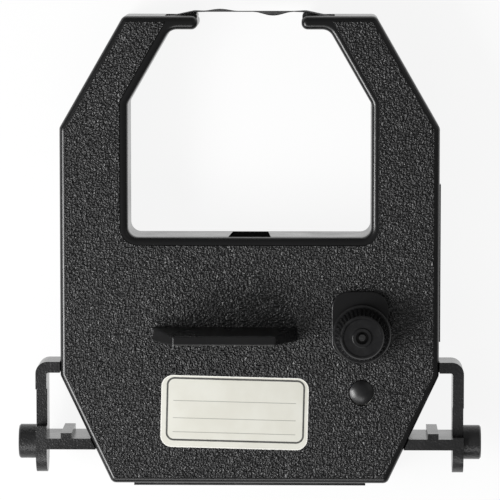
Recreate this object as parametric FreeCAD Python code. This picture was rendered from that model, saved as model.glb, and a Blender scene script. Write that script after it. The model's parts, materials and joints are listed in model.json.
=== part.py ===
import FreeCAD, Part
import math
import os

# Printer ribbon cartridge, lying on its back. X runs across it, Y towards the exposed ribbon
# and Z out through the grained front. The origin is the middle of the back. Millimetres.

# How far joined solids run into each other, and how far cutters run past a face
JOIN = 0.5
RIB_JOIN = 0.2
PAST = 1.0

# Case outline
CASE_HALF_LENGTH = 56.35
SIDE_HALF_WIDTH = 45.6
TOP_SLANT_WIDTH = 15.35
FOOT_SLANT_WIDTH = 12.4
TOP_HALF_WIDTH = SIDE_HALF_WIDTH - TOP_SLANT_WIDTH
FOOT_HALF_WIDTH = SIDE_HALF_WIDTH - FOOT_SLANT_WIDTH
SHOULDER_Y = CASE_HALF_LENGTH * 0.5253
HIP_Y = -CASE_HALF_LENGTH * 0.5359
CORNER_R = 1.5

# Window that the printer's platen and head reach into, and the two arms beside it
CHANNEL_WIDTH = 16.4
WINDOW_HALF_WIDTH = SIDE_HALF_WIDTH - CHANNEL_WIDTH
WINDOW_FLOOR_Y = CASE_HALF_LENGTH * 0.0586
WINDOW_SHOULDER_Y = CASE_HALF_LENGTH * 0.6282
WINDOW_CORNER_R = 2.5
WINDOW_SHOULDER_R = 2.0
ARM_SLANT_WIDTH = 10.2
ARM_REACH = 6.6
ARM_ROOT_X = WINDOW_HALF_WIDTH - ARM_SLANT_WIDTH
ARM_TIP_X = ARM_ROOT_X - ARM_REACH
ARM_THICKNESS = 3.2
ARM_FILLET_R = 2.8
ARM_TIP_R = 1.5

# Section through the case
CASE_DEPTH = 17.5
COVER_DEPTH = 3.4
WALL = 1.6
FLOOR = 1.6
FRONT_PLATE = 1.6
BACK_EDGE_CHAMFER = 0.6
FRONT_EDGE_R = 1.4
TONGUE_THICKNESS = 0.7
TONGUE_HEIGHT = 1.0
SEAM_CLEARANCE = 0.1
INNER_WALL = 1.2
INNER_TOP_CLEARANCE = 0.3

# Posts that plug the cover to the base
PLUG_POST_X = SIDE_HALF_WIDTH - 4.2
PLUG_POST_FOOT_INSET = 21.1
PLUG_POST_FOOT_Y = -CASE_HALF_LENGTH + 6.35
PLUG_POSTS = [
    (-PLUG_POST_X, SHOULDER_Y - 5.6),
    (PLUG_POST_X, SHOULDER_Y - 5.6),
    (PLUG_POST_X, WINDOW_FLOOR_Y - 5.3),
    (-PLUG_POST_X, HIP_Y + 10.2),
    (SIDE_HALF_WIDTH - PLUG_POST_FOOT_INSET, PLUG_POST_FOOT_Y),
]
PLUG_POST_R = 1.8
PLUG_PEG_R = 0.95
PLUG_HEIGHT = 3.2
PLUG_CLEARANCE = 0.05

# Latch pocket in the window's floor
LATCH_MOUTH_WIDTH = 10.3
LATCH_BACK_WIDTH = 8.6
LATCH_DEPTH = 3.2

# Grip fin on the front
FIN_X = -5.8
FIN_Y = -CASE_HALF_LENGTH * 0.355
FIN_BASE = (35.0, 3.4)
FIN_TIP = (24.3, 2.2)
FIN_HEIGHT = 14.1
FIN_CORNER_R = 0.4
FIN_TOP_R = 0.3

# Smooth pad under the knob
PAD_SHIFT = 0.45
PAD_WIDTH = 13.7
PAD_ABOVE_KNOB = 10.15
PAD_BELOW_KNOB = 5.9
PAD_HEIGHT = 1.1
PAD_CORNER_R = 4.2
PAD_EDGE_R = 0.35

# Side legs with their trunnion pins
LEG_SPAN = 6.05
LEG_OUTER_X = SIDE_HALF_WIDTH + LEG_SPAN
LEG_THICKNESS = 2.65
LEG_TOP_Y = HIP_Y + 3.3
LEG_BOTTOM_Y = -CASE_HALF_LENGTH + 2.05
LEG_FRONT_Z = CASE_DEPTH - 0.6
LEG_WIDTH = 10.2
LEG_CORNER_R = 2.9
LEG_INNER_R = 0.5
LEG_LOWER_BAR_BACK_Z = 0.4
LEG_COVER_GAP = 0.15
LEG_NOTCH_DEPTH = 2.9
LEFT_NOTCH_DROP = 6.7
LEFT_NOTCH_LENGTH = 9.0
RIGHT_NOTCH_DROP = 11.1
RIGHT_NOTCH_LENGTH = 7.2
LEFT_NOTCH_Y = (LEG_TOP_Y - LEFT_NOTCH_DROP - LEFT_NOTCH_LENGTH, LEG_TOP_Y - LEFT_NOTCH_DROP)
RIGHT_NOTCH_Y = (LEG_TOP_Y - RIGHT_NOTCH_DROP - RIGHT_NOTCH_LENGTH, LEG_TOP_Y - RIGHT_NOTCH_DROP)
PIN_R = 4.15
PIN_LENGTH = 4.25
PIN_CHAMFER = 0.35
TRUNNION_Y = -CASE_HALF_LENGTH + 9.45
TAB_OUTER_X = SIDE_HALF_WIDTH
TAB_WIDTH = 2.6
TAB_HEIGHT = 1.35

# Lip under the lower edge and rail on the right side
LIP_REACH = 0.93
LIP_HALF_LENGTH = FOOT_HALF_WIDTH - 5.2
LIP_HEIGHT = 2.0
RAIL_REACH = 0.35
RAIL_ENDS_Y = (HIP_Y + 8.0, SHOULDER_Y - 13.7)
RAIL_HEIGHT = 3.0

# Feed gears
GEAR_MODULE = 0.8
GEAR_TEETH = 18
GEAR_BACKLASH = 0.12
ROOT_DEPTH = 1.25
GEAR_HEIGHT = 2.1
GEAR_TOP_CLEARANCE = 0.35
WHEEL_GAP = 0.2
PRESSURE_ANGLE = 20.0
DRIVE_INSET = 18.6
DRIVE_RISE = 36.65
DRIVE_X = SIDE_HALF_WIDTH - DRIVE_INSET
DRIVE_Y = -CASE_HALF_LENGTH + DRIVE_RISE
FEED_ROLLER_R = 7.0
FEED_GROOVE_COUNT = 30
FEED_GROOVE_DEPTH = 0.2
SPINDLE_R = 3.2
SPINDLE_RECESS = 0.2
SPINDLE_HEX = 4.0
SPINDLE_TIP_R = 0.8
SHAFT_CLEARANCE = 0.06
DRIVE_SOCKET_R = 1.75
DRIVE_SOCKET_DEPTH = 6.0
DRIVE_KEY_WIDTH = 0.9
DRIVE_KEY_REACH = 0.6

# Idler on its swinging arm
IDLER_SWING_DEG = 1.6
PIVOT_DX = 11.0
PIVOT_DY = 0.6
PIVOT_POST_R = 1.5
PIVOT_BOSS_R = 2.2
PIVOT_BOSS_HEIGHT = 9.3
ARM_PLATE = 1.2
ARM_PLATE_R = 3.4
AXLE_R = 1.5
AXLE_HEAD_R = 2.85
AXLE_DOME_RISE = 0.9
AXLE_RIM_SINK = 0.1
AXLE_HOLE_GAP = 0.2
SPRING_TAB_DROP = 9.2
SPRING_TAB_WIDTH = 6.0
SPRING_TAB_THICKNESS = 1.2
SPRING_THICKNESS = 0.3
SPRING_HEIGHT = 7.0
SPRING_SPAN = 14.0
SPRING_BOW = 2.6
SPRING_GAP = 0.4

# Advance knob
KNOB_FLANGE_R = 7.05
KNOB_FLANGE_THICKNESS = 1.8
KNOB_GRIP_FOOT_R = 6.55
KNOB_TOP_R = 5.25
KNOB_GRIP_HEIGHT = 6.5
KNOB_LIFT = 0.3
KNOB_WALL = 1.3
KNOB_DISH_R = 4.7
KNOB_DISH = 0.35
KNOB_HUB_R = 2.2
KNOB_EYE_R = 1.55
KNOB_EYE_DEPTH = 2.4
KNOB_EYE_FLOOR = 1.0
KNOB_ROOF = 0.6
KNOB_EDGE = 0.3
KNOB_SMOOTH_RIM = 0.5
KNOB_SOCKET_R = 3.6
KNOB_GROOVE_COUNT = 36
KNOB_GROOVE_DEPTH = 0.3
HEX_CLEARANCE = 0.05

# Ribbon and the pieces that guide it
RIBBON_WIDTH = CASE_DEPTH - 7.5
RIBBON_THICKNESS = 0.12
RIBBON_BACK_Z = 3.0
RIBBON_GAP = 0.06
FOLD_COUNT = 9
FOLD_START_GAP = 3.6
FOLD_LAST_X = -SIDE_HALF_WIDTH + 6.8
FOLD_TOP_Y = WINDOW_FLOOR_Y - 8.5
FOLD_BOTTOM_Y = -CASE_HALF_LENGTH + 5.35
FOLD_UNEVENNESS = 1.2
FOLD_ENTRY_R = 2.5
FOLD_WALL_GAP = 1.5
GUIDE_ROLLER_R = 2.2
GUIDE_FLANGE_R = 3.0
GUIDE_FLANGE = 0.35
GUIDE_POST_R = 1.1
GUIDE_SHOULDER_R = 1.7
GUIDE_X = SIDE_HALF_WIDTH - CHANNEL_WIDTH * 0.61
GUIDE_Y = SHOULDER_Y + 4.8
FEED_GUIDE_X = SIDE_HALF_WIDTH - 8.4
EXIT_POST = (-GUIDE_X - 1.0, WINDOW_FLOOR_Y - 1.3)
EXIT_POST_R = 1.6
NOSE_X = ARM_ROOT_X - 0.1
NOSE_Y = CASE_HALF_LENGTH - 1.4
NOSE_R = 1.0
CREST_X = ARM_TIP_X + 1.1
CREST_RISE = 0.75
CREST_R = 0.9
SLOT_HEADROOM = 0.9
CHAMBER_WALL_X = DRIVE_X - 10.2
MOUTH_HALF_HEIGHT = 5.3
STRIPPER_TIP_X = CHAMBER_WALL_X + 5.2
STRIPPER_PLATE_X = CHAMBER_WALL_X + 3.2
STRIPPER_PLATE = 1.0
STRIPPER_GAP = 0.4
FLOOR_RIB = 1.0
FLOOR_RIB_COUNT = 5
FLOOR_RIB_YS = [PLUG_POST_FOOT_Y + 10.0 * i for i in range(FLOOR_RIB_COUNT)]

# Brake that keeps the ribbon taut
BRAKE_PAD = (1.2, 6.0)
LEAF_THICKNESS = 0.3
LEAF_TAIL_Y = EXIT_POST[1] + 10.8
LEAF_END_Y = EXIT_POST[1] + 14.4
LEAF_WALL_GAP = 0.5
LEAF_KEEPER = 1.2
LEAF_KEEPER_START = 0.4
LEAF_BEND_R = 2.0
LEAF_TAIL_BEND_R = 1.0
LEAF_SIDE_GAP = 0.5

# Label on the front
LABEL_X = -3.6
LABEL_Y = -CASE_HALF_LENGTH + 17.3
LABEL_SIZE = (35.5, 17.5)
LABEL_CORNER_R = 2.8
LABEL_THICKNESS = 0.12
LABEL_TILT_DEG = -1.4

# Places that follow from the sizes above
ARM_UNDERSIDE_Y = CASE_HALF_LENGTH - ARM_THICKNESS
PARTING_Z = CASE_DEPTH - COVER_DEPTH
PLATE_Z = CASE_DEPTH - FRONT_PLATE
INNER_TOP_Z = PLATE_Z - INNER_TOP_CLEARANCE
GEAR_PITCH_R = GEAR_MODULE * GEAR_TEETH / 2
IDLER_X = DRIVE_X
IDLER_Y = DRIVE_Y - 2 * GEAR_PITCH_R
NIP_Y = (DRIVE_Y + IDLER_Y) / 2
MOUTH_TOP_Y = NIP_Y + MOUTH_HALF_HEIGHT
MOUTH_BOTTOM_Y = NIP_Y - MOUTH_HALF_HEIGHT
FOLD_FIRST_X = CHAMBER_WALL_X - FOLD_START_GAP
GEAR_TOP_Z = PLATE_Z - GEAR_TOP_CLEARANCE
GEAR_BACK_Z = GEAR_TOP_Z - GEAR_HEIGHT
ARM_BACK_Z = FLOOR + 2 * SHAFT_CLEARANCE
PIVOT_X = IDLER_X + PIVOT_DX
PIVOT_Y = IDLER_Y + PIVOT_DY
RIBBON_LEAD = RIBBON_THICKNESS / 2 + RIBBON_GAP
RIBBON_FRONT_Z = RIBBON_BACK_Z + RIBBON_WIDTH
FEED_GUIDE_Y = NIP_Y + GUIDE_ROLLER_R + RIBBON_LEAD
GUIDE_BACK_Z = RIBBON_BACK_Z - GUIDE_FLANGE - RIBBON_GAP
GUIDE_FRONT_Z = RIBBON_FRONT_Z + RIBBON_GAP + GUIDE_FLANGE
CREST_Y = CASE_HALF_LENGTH + CREST_RISE - CREST_R
PAD_Z = CASE_DEPTH + PAD_HEIGHT
KNOB_BACK_Z = PAD_Z + KNOB_LIFT
KNOB_GRIP_Z = KNOB_BACK_Z + KNOB_FLANGE_THICKNESS
KNOB_TOP_Z = KNOB_GRIP_Z + KNOB_GRIP_HEIGHT
KNOB_EYE_Z = KNOB_TOP_Z - KNOB_EYE_DEPTH

V = FreeCAD.Vector
UP = V(0, 0, 1)
ORIGIN = V(0, 0, 0)


# Plane geometry

def line(start, end):
    return Part.LineSegment(start, end).toShape()


def arc(start, middle, end):
    return Part.Arc(start, middle, end).toShape()


def rounded_wire(corners):
    """Closed wire through (x, y, radius) corners, with a tangent arc at each."""
    count = len(corners)
    spans = []
    for i, (x, y, radius) in enumerate(corners):
        here = V(x, y, 0)
        back = V(*corners[i - 1][:2], 0) - here
        ahead = V(*corners[(i + 1) % count][:2], 0) - here
        back.normalize()
        ahead.normalize()
        half = back.getAngle(ahead) / 2
        reach = radius / math.tan(half)
        inward = back + ahead
        inward.normalize()
        middle = here + inward * (radius / math.sin(half) - radius)
        spans.append((here + back * reach, middle, here + ahead * reach))
    edges = []
    for i, (start, middle, end) in enumerate(spans):
        if (start - end).Length > 1e-6:
            edges.append(arc(start, middle, end))
        following = spans[(i + 1) % count][0]
        if (following - end).Length > 1e-6:
            edges.append(line(end, following))
    return Part.Wire(edges)


def polygon_wire(points):
    vectors = [V(x, y, 0) for x, y in points]
    return Part.makePolygon(vectors + vectors[:1])


def inset(points, distance):
    """Polygon with each side moved inwards; the points run counterclockwise."""
    lines = []
    for i, (x, y) in enumerate(points):
        start = V(x, y, 0)
        along = V(*points[(i + 1) % len(points)], 0) - start
        along.normalize()
        lines.append((start + V(-along.y, along.x, 0) * distance, along))
    result = []
    for i, (start, along) in enumerate(lines):
        before, previous = lines[i - 1]
        turn = previous.x * along.y - previous.y * along.x
        step = ((start - before).x * along.y - (start - before).y * along.x) / turn
        crossing = before + previous * step
        result.append((crossing.x, crossing.y))
    return result


def prism(wire, low, high):
    face = Part.Face(wire)
    face.translate(V(0, 0, low))
    return face.extrude(V(0, 0, high - low))


def block(x, y, z):
    """Box between pairs of (low, high) coordinates."""
    return Part.makeBox(x[1] - x[0], y[1] - y[0], z[1] - z[0], V(x[0], y[0], z[0]))


def post(x, y, radius, low, high):
    return Part.makeCylinder(radius, high - low, V(x, y, low))


def turned(profile, x=0.0, y=0.0):
    """Solid of revolution about Z from (radius, z) points."""
    vectors = [V(r, 0, z) for r, z in profile]
    face = Part.Face(Part.makePolygon(vectors + vectors[:1]))
    solid = face.revolve(ORIGIN, UP, 360)
    solid.translate(V(x, y, 0))
    return solid


def mirrored(shape):
    return shape.mirror(ORIGIN, V(1, 0, 0))


def edges_at(shape, z):
    return [e for e in shape.Edges if all(abs(v.Z - z) < 1e-6 for v in e.Vertexes)]


# Belt paths: a band that runs round circles (x, y, radius, side). Side is 1 where the band
# turns left round the circle and -1 where it turns right.

def belt_tangent(first, second):
    """Heading of the straight run from one circle to the next, in radians."""
    dx, dy = second[0] - first[0], second[1] - first[1]
    offset = second[3] * second[2] - first[3] * first[2]
    return math.atan2(dy, dx) - math.asin(offset / math.hypot(dx, dy))


def belt_point(circle, heading):
    x, y, radius, side = circle
    return V(x + side * radius * math.sin(heading), y - side * radius * math.cos(heading), 0)


def belt_arc(circle, arrival, departure):
    side = circle[3]
    sweep = (side * (departure - arrival)) % (2 * math.pi)
    if sweep < 1e-7 or sweep > 2 * math.pi - 1e-7:
        return []
    middle = belt_point(circle, arrival + side * sweep / 2)
    return [arc(belt_point(circle, arrival), middle, belt_point(circle, departure))]


def shifted(circles, offset):
    """The same route, moved to its left by offset."""
    return [(x, y, radius - side * offset, side) for x, y, radius, side in circles]


def closed_belt(circles, offset):
    route = shifted(circles, offset)
    count = len(route)
    headings = [belt_tangent(route[i], route[(i + 1) % count]) for i in range(count)]
    edges = []
    for i, circle in enumerate(route):
        edges += belt_arc(circle, headings[i - 1], headings[i])
        start = belt_point(circle, headings[i])
        edges.append(line(start, belt_point(route[(i + 1) % count], headings[i])))
    return Part.Wire(edges)


def open_belt(circles, offset):
    """Edges from the first circle's departure to the last circle's arrival."""
    route = shifted(circles, offset)
    headings = [belt_tangent(a, b) for a, b in zip(route, route[1:])]
    edges = []
    for i, heading in enumerate(headings):
        if i:
            edges += belt_arc(route[i], headings[i - 1], heading)
        edges.append(line(belt_point(route[i], heading), belt_point(route[i + 1], heading)))
    return edges


# Case outlines

def case_outline():
    left = [
        (-ARM_TIP_X, CASE_HALF_LENGTH, ARM_TIP_R),
        (-TOP_HALF_WIDTH, CASE_HALF_LENGTH, CORNER_R),
        (-SIDE_HALF_WIDTH, SHOULDER_Y, CORNER_R),
        (-SIDE_HALF_WIDTH, HIP_Y, CORNER_R),
        (-FOOT_HALF_WIDTH, -CASE_HALF_LENGTH, CORNER_R),
    ]
    inner_right = [
        (ARM_TIP_X, ARM_UNDERSIDE_Y, ARM_TIP_R),
        (ARM_ROOT_X, ARM_UNDERSIDE_Y, ARM_FILLET_R),
        (WINDOW_HALF_WIDTH, WINDOW_SHOULDER_Y, WINDOW_SHOULDER_R),
        (WINDOW_HALF_WIDTH, WINDOW_FLOOR_Y, WINDOW_CORNER_R),
    ]
    right = [(-x, y, r) for x, y, r in reversed(left)]
    inner_left = [(-x, y, r) for x, y, r in reversed(inner_right)]
    return rounded_wire(left + right + inner_right + inner_left)


def hollow_outline(distance):
    """The case inset from its walls. The arms beside the window stay solid."""
    slant = (WINDOW_HALF_WIDTH - ARM_ROOT_X) / (ARM_UNDERSIDE_Y - WINDOW_SHOULDER_Y)
    horn_x = WINDOW_HALF_WIDTH - slant * (CASE_HALF_LENGTH - WINDOW_SHOULDER_Y)
    left = [
        (-horn_x, CASE_HALF_LENGTH),
        (-TOP_HALF_WIDTH, CASE_HALF_LENGTH),
        (-SIDE_HALF_WIDTH, SHOULDER_Y),
        (-SIDE_HALF_WIDTH, HIP_Y),
        (-FOOT_HALF_WIDTH, -CASE_HALF_LENGTH),
    ]
    inner_right = [(WINDOW_HALF_WIDTH, WINDOW_SHOULDER_Y), (WINDOW_HALF_WIDTH, WINDOW_FLOOR_Y)]
    right = [(-x, y) for x, y in reversed(left)]
    inner_left = [(-x, y) for x, y in reversed(inner_right)]
    return polygon_wire(inset(left + right + inner_right + inner_left, distance))


# Ribbon route

def wall_x(y):
    """Half-width of the case at a height y below its hips."""
    slope = (SIDE_HALF_WIDTH - FOOT_HALF_WIDTH) / (HIP_Y + CASE_HALF_LENGTH)
    return SIDE_HALF_WIDTH - slope * (HIP_Y - y)


def fold_bottom(x, wave):
    """Lowest centre of a fold at x, kept off the slanted foot of the case."""
    slope = (SIDE_HALF_WIDTH - FOOT_HALF_WIDTH) / (HIP_Y + CASE_HALF_LENGTH)
    room = SIDE_HALF_WIDTH - WALL * math.hypot(1, slope) - abs(x) - FOLD_WALL_GAP
    slanted = HIP_Y - room / slope + FOLD_WALL_GAP
    return max(FOLD_BOTTOM_Y + FOLD_UNEVENNESS * wave, slanted)


def top_route():
    """Circles from the left guide roller over both arm tips to the right one."""
    lead = RIBBON_LEAD
    left = [
        (-GUIDE_X, GUIDE_Y, GUIDE_ROLLER_R + lead, -1),
        (-NOSE_X, NOSE_Y, NOSE_R + lead, -1),
        (-CREST_X, CREST_Y, CREST_R + lead, -1),
    ]
    return left + [(-x, y, radius, side) for x, y, radius, side in reversed(left)]


def fold_route():
    """Circles of the zigzag stored in the chamber, from its mouth to its way out."""
    pitch = (FOLD_FIRST_X - FOLD_LAST_X) / (2 * FOLD_COUNT)
    circles = [(FOLD_FIRST_X + FOLD_ENTRY_R, NIP_Y + FOLD_ENTRY_R, FOLD_ENTRY_R, -1)]
    for i in range(FOLD_COUNT):
        top_x = FOLD_FIRST_X - (2 * i + 0.5) * pitch
        bottom_x = top_x - pitch
        top_y = FOLD_TOP_Y + FOLD_UNEVENNESS * math.sin(1.7 * i)
        circles.append((top_x, top_y, pitch / 2, 1))
        circles.append((bottom_x, fold_bottom(bottom_x, math.sin(2.3 * i + 1)), pitch / 2, -1))
    return circles


def ribbon_route():
    feed_guide = (FEED_GUIDE_X, FEED_GUIDE_Y, GUIDE_ROLLER_R + RIBBON_LEAD, -1)
    exit_turn = (EXIT_POST[0], EXIT_POST[1], EXIT_POST_R + RIBBON_LEAD, -1)
    return [feed_guide] + fold_route() + [exit_turn] + top_route()


# Gears and grooves

def involute(angle):
    return math.tan(angle) - angle


def gear_wire(phase_deg):
    """Outline of a spur gear with one tooth centred on phase_deg."""
    pressure = math.radians(PRESSURE_ANGLE)
    base_r = GEAR_PITCH_R * math.cos(pressure)
    root_r = GEAR_PITCH_R - ROOT_DEPTH * GEAR_MODULE
    tip_r = GEAR_PITCH_R + GEAR_MODULE
    half_tooth = math.pi / (2 * GEAR_TEETH) - GEAR_BACKLASH / (2 * GEAR_PITCH_R)

    def spread(radius):
        return half_tooth + involute(pressure) - involute(math.acos(base_r / radius))

    def at(radius, angle):
        return V(radius * math.cos(angle), radius * math.sin(angle), 0)

    radii = [base_r + (tip_r - base_r) * step / 4 for step in range(5)]
    edges = []
    pitch = 2 * math.pi / GEAR_TEETH
    for tooth in range(GEAR_TEETH):
        centre = math.radians(phase_deg) + tooth * pitch
        rise = [at(r, centre - spread(r)) for r in radii]
        fall = [at(r, centre + spread(r)) for r in reversed(radii)]
        foot_in = at(root_r, centre - spread(base_r))
        foot_out = at(root_r, centre + spread(base_r))
        next_foot = at(root_r, centre + pitch - spread(base_r))
        flank_up = Part.BSplineCurve()
        flank_up.interpolate(rise)
        flank_down = Part.BSplineCurve()
        flank_down.interpolate(fall)
        edges.append(line(foot_in, rise[0]))
        edges.append(flank_up.toShape())
        edges.append(arc(rise[-1], at(tip_r, centre), fall[0]))
        edges.append(flank_down.toShape())
        edges.append(line(fall[-1], foot_out))
        edges.append(arc(foot_out, at(root_r, centre + pitch / 2), next_foot))
    return Part.Wire(edges)


def grooves(count, foot_r, head_r, depth, low, high):
    """V grooves round a cylinder or cone about Z, from radius foot_r at low to head_r at high."""
    wires = []
    for radius, z in ((foot_r, low), (head_r, high)):
        points = [V(radius - depth, 0, z), V(radius + depth, -2 * depth, z)]
        points.append(V(radius + depth, 2 * depth, z))
        wires.append(Part.makePolygon(points + points[:1]))
    groove = Part.makeLoft(wires, True, True)
    cutters = []
    for i in range(count):
        cutter = groove.copy()
        cutter.rotate(ORIGIN, UP, 360.0 * i / count)
        cutters.append(cutter)
    return Part.makeCompound(cutters)


def hexagon(across_flats):
    radius = across_flats / math.sqrt(3)
    return polygon_wire([
        (radius * math.cos(math.radians(60 * i)), radius * math.sin(math.radians(60 * i)))
        for i in range(6)
    ])


# Base shell

def leg_blank(notch_y):
    """Right leg: an outer plate with a rounded foot, two bars, a tab and a trunnion pin."""
    inner_x = LEG_OUTER_X - LEG_THICKNESS
    back_z = LEG_FRONT_Z - LEG_WIDTH
    root_x = SIDE_HALF_WIDTH - WALL / 2
    hook = rounded_wire([
        (root_x, LEG_TOP_Y, 0),
        (root_x, LEG_TOP_Y - LEG_THICKNESS, 0),
        (inner_x, LEG_TOP_Y - LEG_THICKNESS, LEG_INNER_R),
        (inner_x, LEG_BOTTOM_Y, 0),
        (LEG_OUTER_X, LEG_BOTTOM_Y, 0),
        (LEG_OUTER_X, LEG_TOP_Y, LEG_CORNER_R),
    ])
    leg = prism(hook, back_z, LEG_FRONT_Z)
    foot = rounded_wire([
        (LEG_BOTTOM_Y, back_z, LEG_WIDTH / 2),
        (LEG_TOP_Y + PAST, back_z, 0),
        (LEG_TOP_Y + PAST, LEG_FRONT_Z, 0),
        (LEG_BOTTOM_Y, LEG_FRONT_Z, LEG_WIDTH / 2),
    ])
    side_view = prism(foot, 0, LEG_OUTER_X + PAST)
    side_view.Placement = FreeCAD.Placement(ORIGIN, FreeCAD.Rotation(V(1, 1, 1), 120))
    leg = leg.common(side_view)
    notch_x = (inner_x - PAST, LEG_OUTER_X + PAST)
    notch = block(notch_x, notch_y, (LEG_FRONT_Z - LEG_NOTCH_DEPTH, LEG_FRONT_Z + PAST))
    leg = leg.cut(notch)
    bar_y = (TRUNNION_Y - LEG_THICKNESS / 2, TRUNNION_Y + LEG_THICKNESS / 2)
    bar_root = wall_x(bar_y[1]) - WALL
    bar = block((bar_root, inner_x + JOIN), bar_y, (LEG_LOWER_BAR_BACK_Z, LEG_FRONT_Z))
    tab_x = (TAB_OUTER_X - TAB_WIDTH, TAB_OUTER_X)
    tab_y = (bar_y[1] - JOIN, bar_y[1] + TAB_HEIGHT)
    tab = block(tab_x, tab_y, (LEG_LOWER_BAR_BACK_Z, LEG_FRONT_Z))
    pin_z = LEG_FRONT_Z - LEG_WIDTH / 2
    pin = turned([
        (0, 0),
        (PIN_R, 0),
        (PIN_R, PIN_LENGTH - PIN_CHAMFER),
        (PIN_R - PIN_CHAMFER, PIN_LENGTH),
        (0, PIN_LENGTH),
    ])
    pin.rotate(ORIGIN, V(0, 1, 0), 90)
    pin.translate(V(LEG_OUTER_X, TRUNNION_Y, pin_z))
    return leg.fuse([bar, tab, pin])


def arm_ramp():
    """Left ramp that lifts the ribbon clear of the arm, from the slot's nose to a round crest."""
    nose = (-NOSE_X, NOSE_Y, NOSE_R, -1)
    crest = (-CREST_X, CREST_Y, CREST_R, -1)
    heading = belt_tangent(nose, crest)
    start = belt_point(nose, heading)
    end = belt_point(crest, heading)
    web = polygon_wire([
        (start.x, start.y),
        (end.x, end.y),
        (-CREST_X, CREST_Y),
        (-CREST_X, CASE_HALF_LENGTH - JOIN),
        (-NOSE_X, NOSE_Y),
    ])
    low, high = RIBBON_BACK_Z - INNER_WALL, PARTING_Z
    crest_post = post(-CREST_X, CREST_Y, CREST_R, low, high)
    nose_post = post(-NOSE_X, NOSE_Y, NOSE_R, FLOOR, PARTING_Z)
    return prism(web, low, high).fuse([crest_post, nose_post])


def ribbon_slot():
    """Left slot, open towards the cover, that the ribbon leaves the case by."""
    route = top_route()[:3]
    lower = open_belt(route, -RIBBON_LEAD)
    upper = open_belt(route, SLOT_HEADROOM)
    lower_start, lower_end = lower[0].Vertexes[0].Point, lower[-1].Vertexes[-1].Point
    upper_start, upper_end = upper[0].Vertexes[0].Point, upper[-1].Vertexes[-1].Point
    edges = lower + [line(lower_end, upper_end)] + upper + [line(upper_start, lower_start)]
    wire = Part.Wire(Part.__sortEdges__(edges))
    return prism(wire, RIBBON_BACK_Z - 2 * RIBBON_GAP, PARTING_Z + COVER_DEPTH)


def latch_pocket(grow, top_y):
    """Wedge in the window's floor, wider towards the front; grow adds the pocket's walls."""
    mouth = LATCH_MOUTH_WIDTH / 2 + grow
    back = LATCH_BACK_WIDTH / 2 + grow
    bottom_y = WINDOW_FLOOR_Y - LATCH_DEPTH - grow
    wire = polygon_wire([(-back, FLOOR), (back, FLOOR), (mouth, PLATE_Z), (-mouth, PLATE_Z)])
    wedge = Part.Face(wire).extrude(V(0, 0, top_y - bottom_y))
    wedge.rotate(ORIGIN, V(1, 0, 0), 90)
    wedge.translate(V(0, top_y, 0))
    return wedge


def base_shell():
    shell = prism(case_outline(), 0, PARTING_Z)
    shell = shell.makeChamfer(BACK_EDGE_CHAMFER, edges_at(shell, 0))
    ramp = arm_ramp()
    lip = block(
        (-LIP_HALF_LENGTH, LIP_HALF_LENGTH),
        (-CASE_HALF_LENGTH - LIP_REACH, -CASE_HALF_LENGTH + WALL / 2),
        (PARTING_Z - LIP_HEIGHT, PARTING_Z),
    )
    rail_x = (SIDE_HALF_WIDTH - WALL / 2, SIDE_HALF_WIDTH + RAIL_REACH)
    rail = block(rail_x, RAIL_ENDS_Y, (PARTING_Z - RAIL_HEIGHT, PARTING_Z))
    legs = leg_blank(RIGHT_NOTCH_Y).fuse(mirrored(leg_blank(LEFT_NOTCH_Y)))
    shell = shell.fuse([ramp, mirrored(ramp), lip, rail, legs])

    cavity = prism(hollow_outline(WALL), FLOOR, PARTING_Z + COVER_DEPTH)
    shell = shell.cut(cavity)
    cover_room = prism(case_outline().makeOffset2D(LEG_COVER_GAP), PARTING_Z, CASE_DEPTH + PAST)
    shell = shell.cut(cover_room)

    tongue_line = hollow_outline(WALL - TONGUE_THICKNESS)
    tongue = prism(tongue_line, PARTING_Z - JOIN, PARTING_Z + TONGUE_HEIGHT).cut(cavity)
    pocket_room = latch_pocket(0, WINDOW_FLOOR_Y + WALL)
    pocket_walls = latch_pocket(INNER_WALL, WINDOW_FLOOR_Y - WALL / 2)
    inside = [tongue, pocket_walls.common(cavity)]
    inside += chamber_walls()
    inside += [post(x, y, PLUG_POST_R, FLOOR - JOIN, PLATE_Z - PLUG_HEIGHT) for x, y in PLUG_POSTS]
    inside += [post(x, y, PLUG_PEG_R, FLOOR, PLATE_Z - PLUG_CLEARANCE) for x, y in PLUG_POSTS]
    inside += guide_posts()
    inside += spring_keepers()
    inside += leaf_keepers()
    inside.append(post(PIVOT_X, PIVOT_Y, PIVOT_POST_R, FLOOR - JOIN, INNER_TOP_Z))
    shell = shell.fuse(inside)

    slot = ribbon_slot()
    shell = shell.cut([slot, mirrored(slot), pocket_room])
    shell = shell.cut(post(DRIVE_X, DRIVE_Y, SPINDLE_R + SHAFT_CLEARANCE, -PAST, FLOOR + PAST))
    return shell.removeSplitter()


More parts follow.
